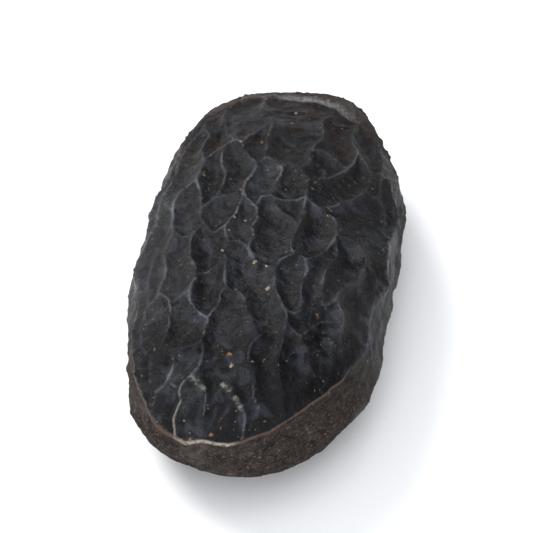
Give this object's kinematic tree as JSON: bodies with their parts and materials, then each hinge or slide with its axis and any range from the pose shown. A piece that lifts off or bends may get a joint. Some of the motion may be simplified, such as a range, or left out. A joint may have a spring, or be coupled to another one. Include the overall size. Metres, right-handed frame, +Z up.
{
  "type": "tonka bean",
  "caption": "Whole dried tonka bean, a long flattened dark seed with a raised net of wrinkles, lying on its broad side.",
  "frame": {"origin": "on the surface that the bean rests on, under the middle of its box", "axes": "+Y along the bean towards its thinner far end, +X across it, +Z up through its thickness"},
  "size_m": [0.0187, 0.0391, 0.0114],
  "materials": {
    "bean_skin": "dark brown-black wrinkled skin, satin on the upper face and dull on the sides"
  },
  "bodies": {
    "root": {"bean": "bean_skin"}
  },
  "joints": []
}
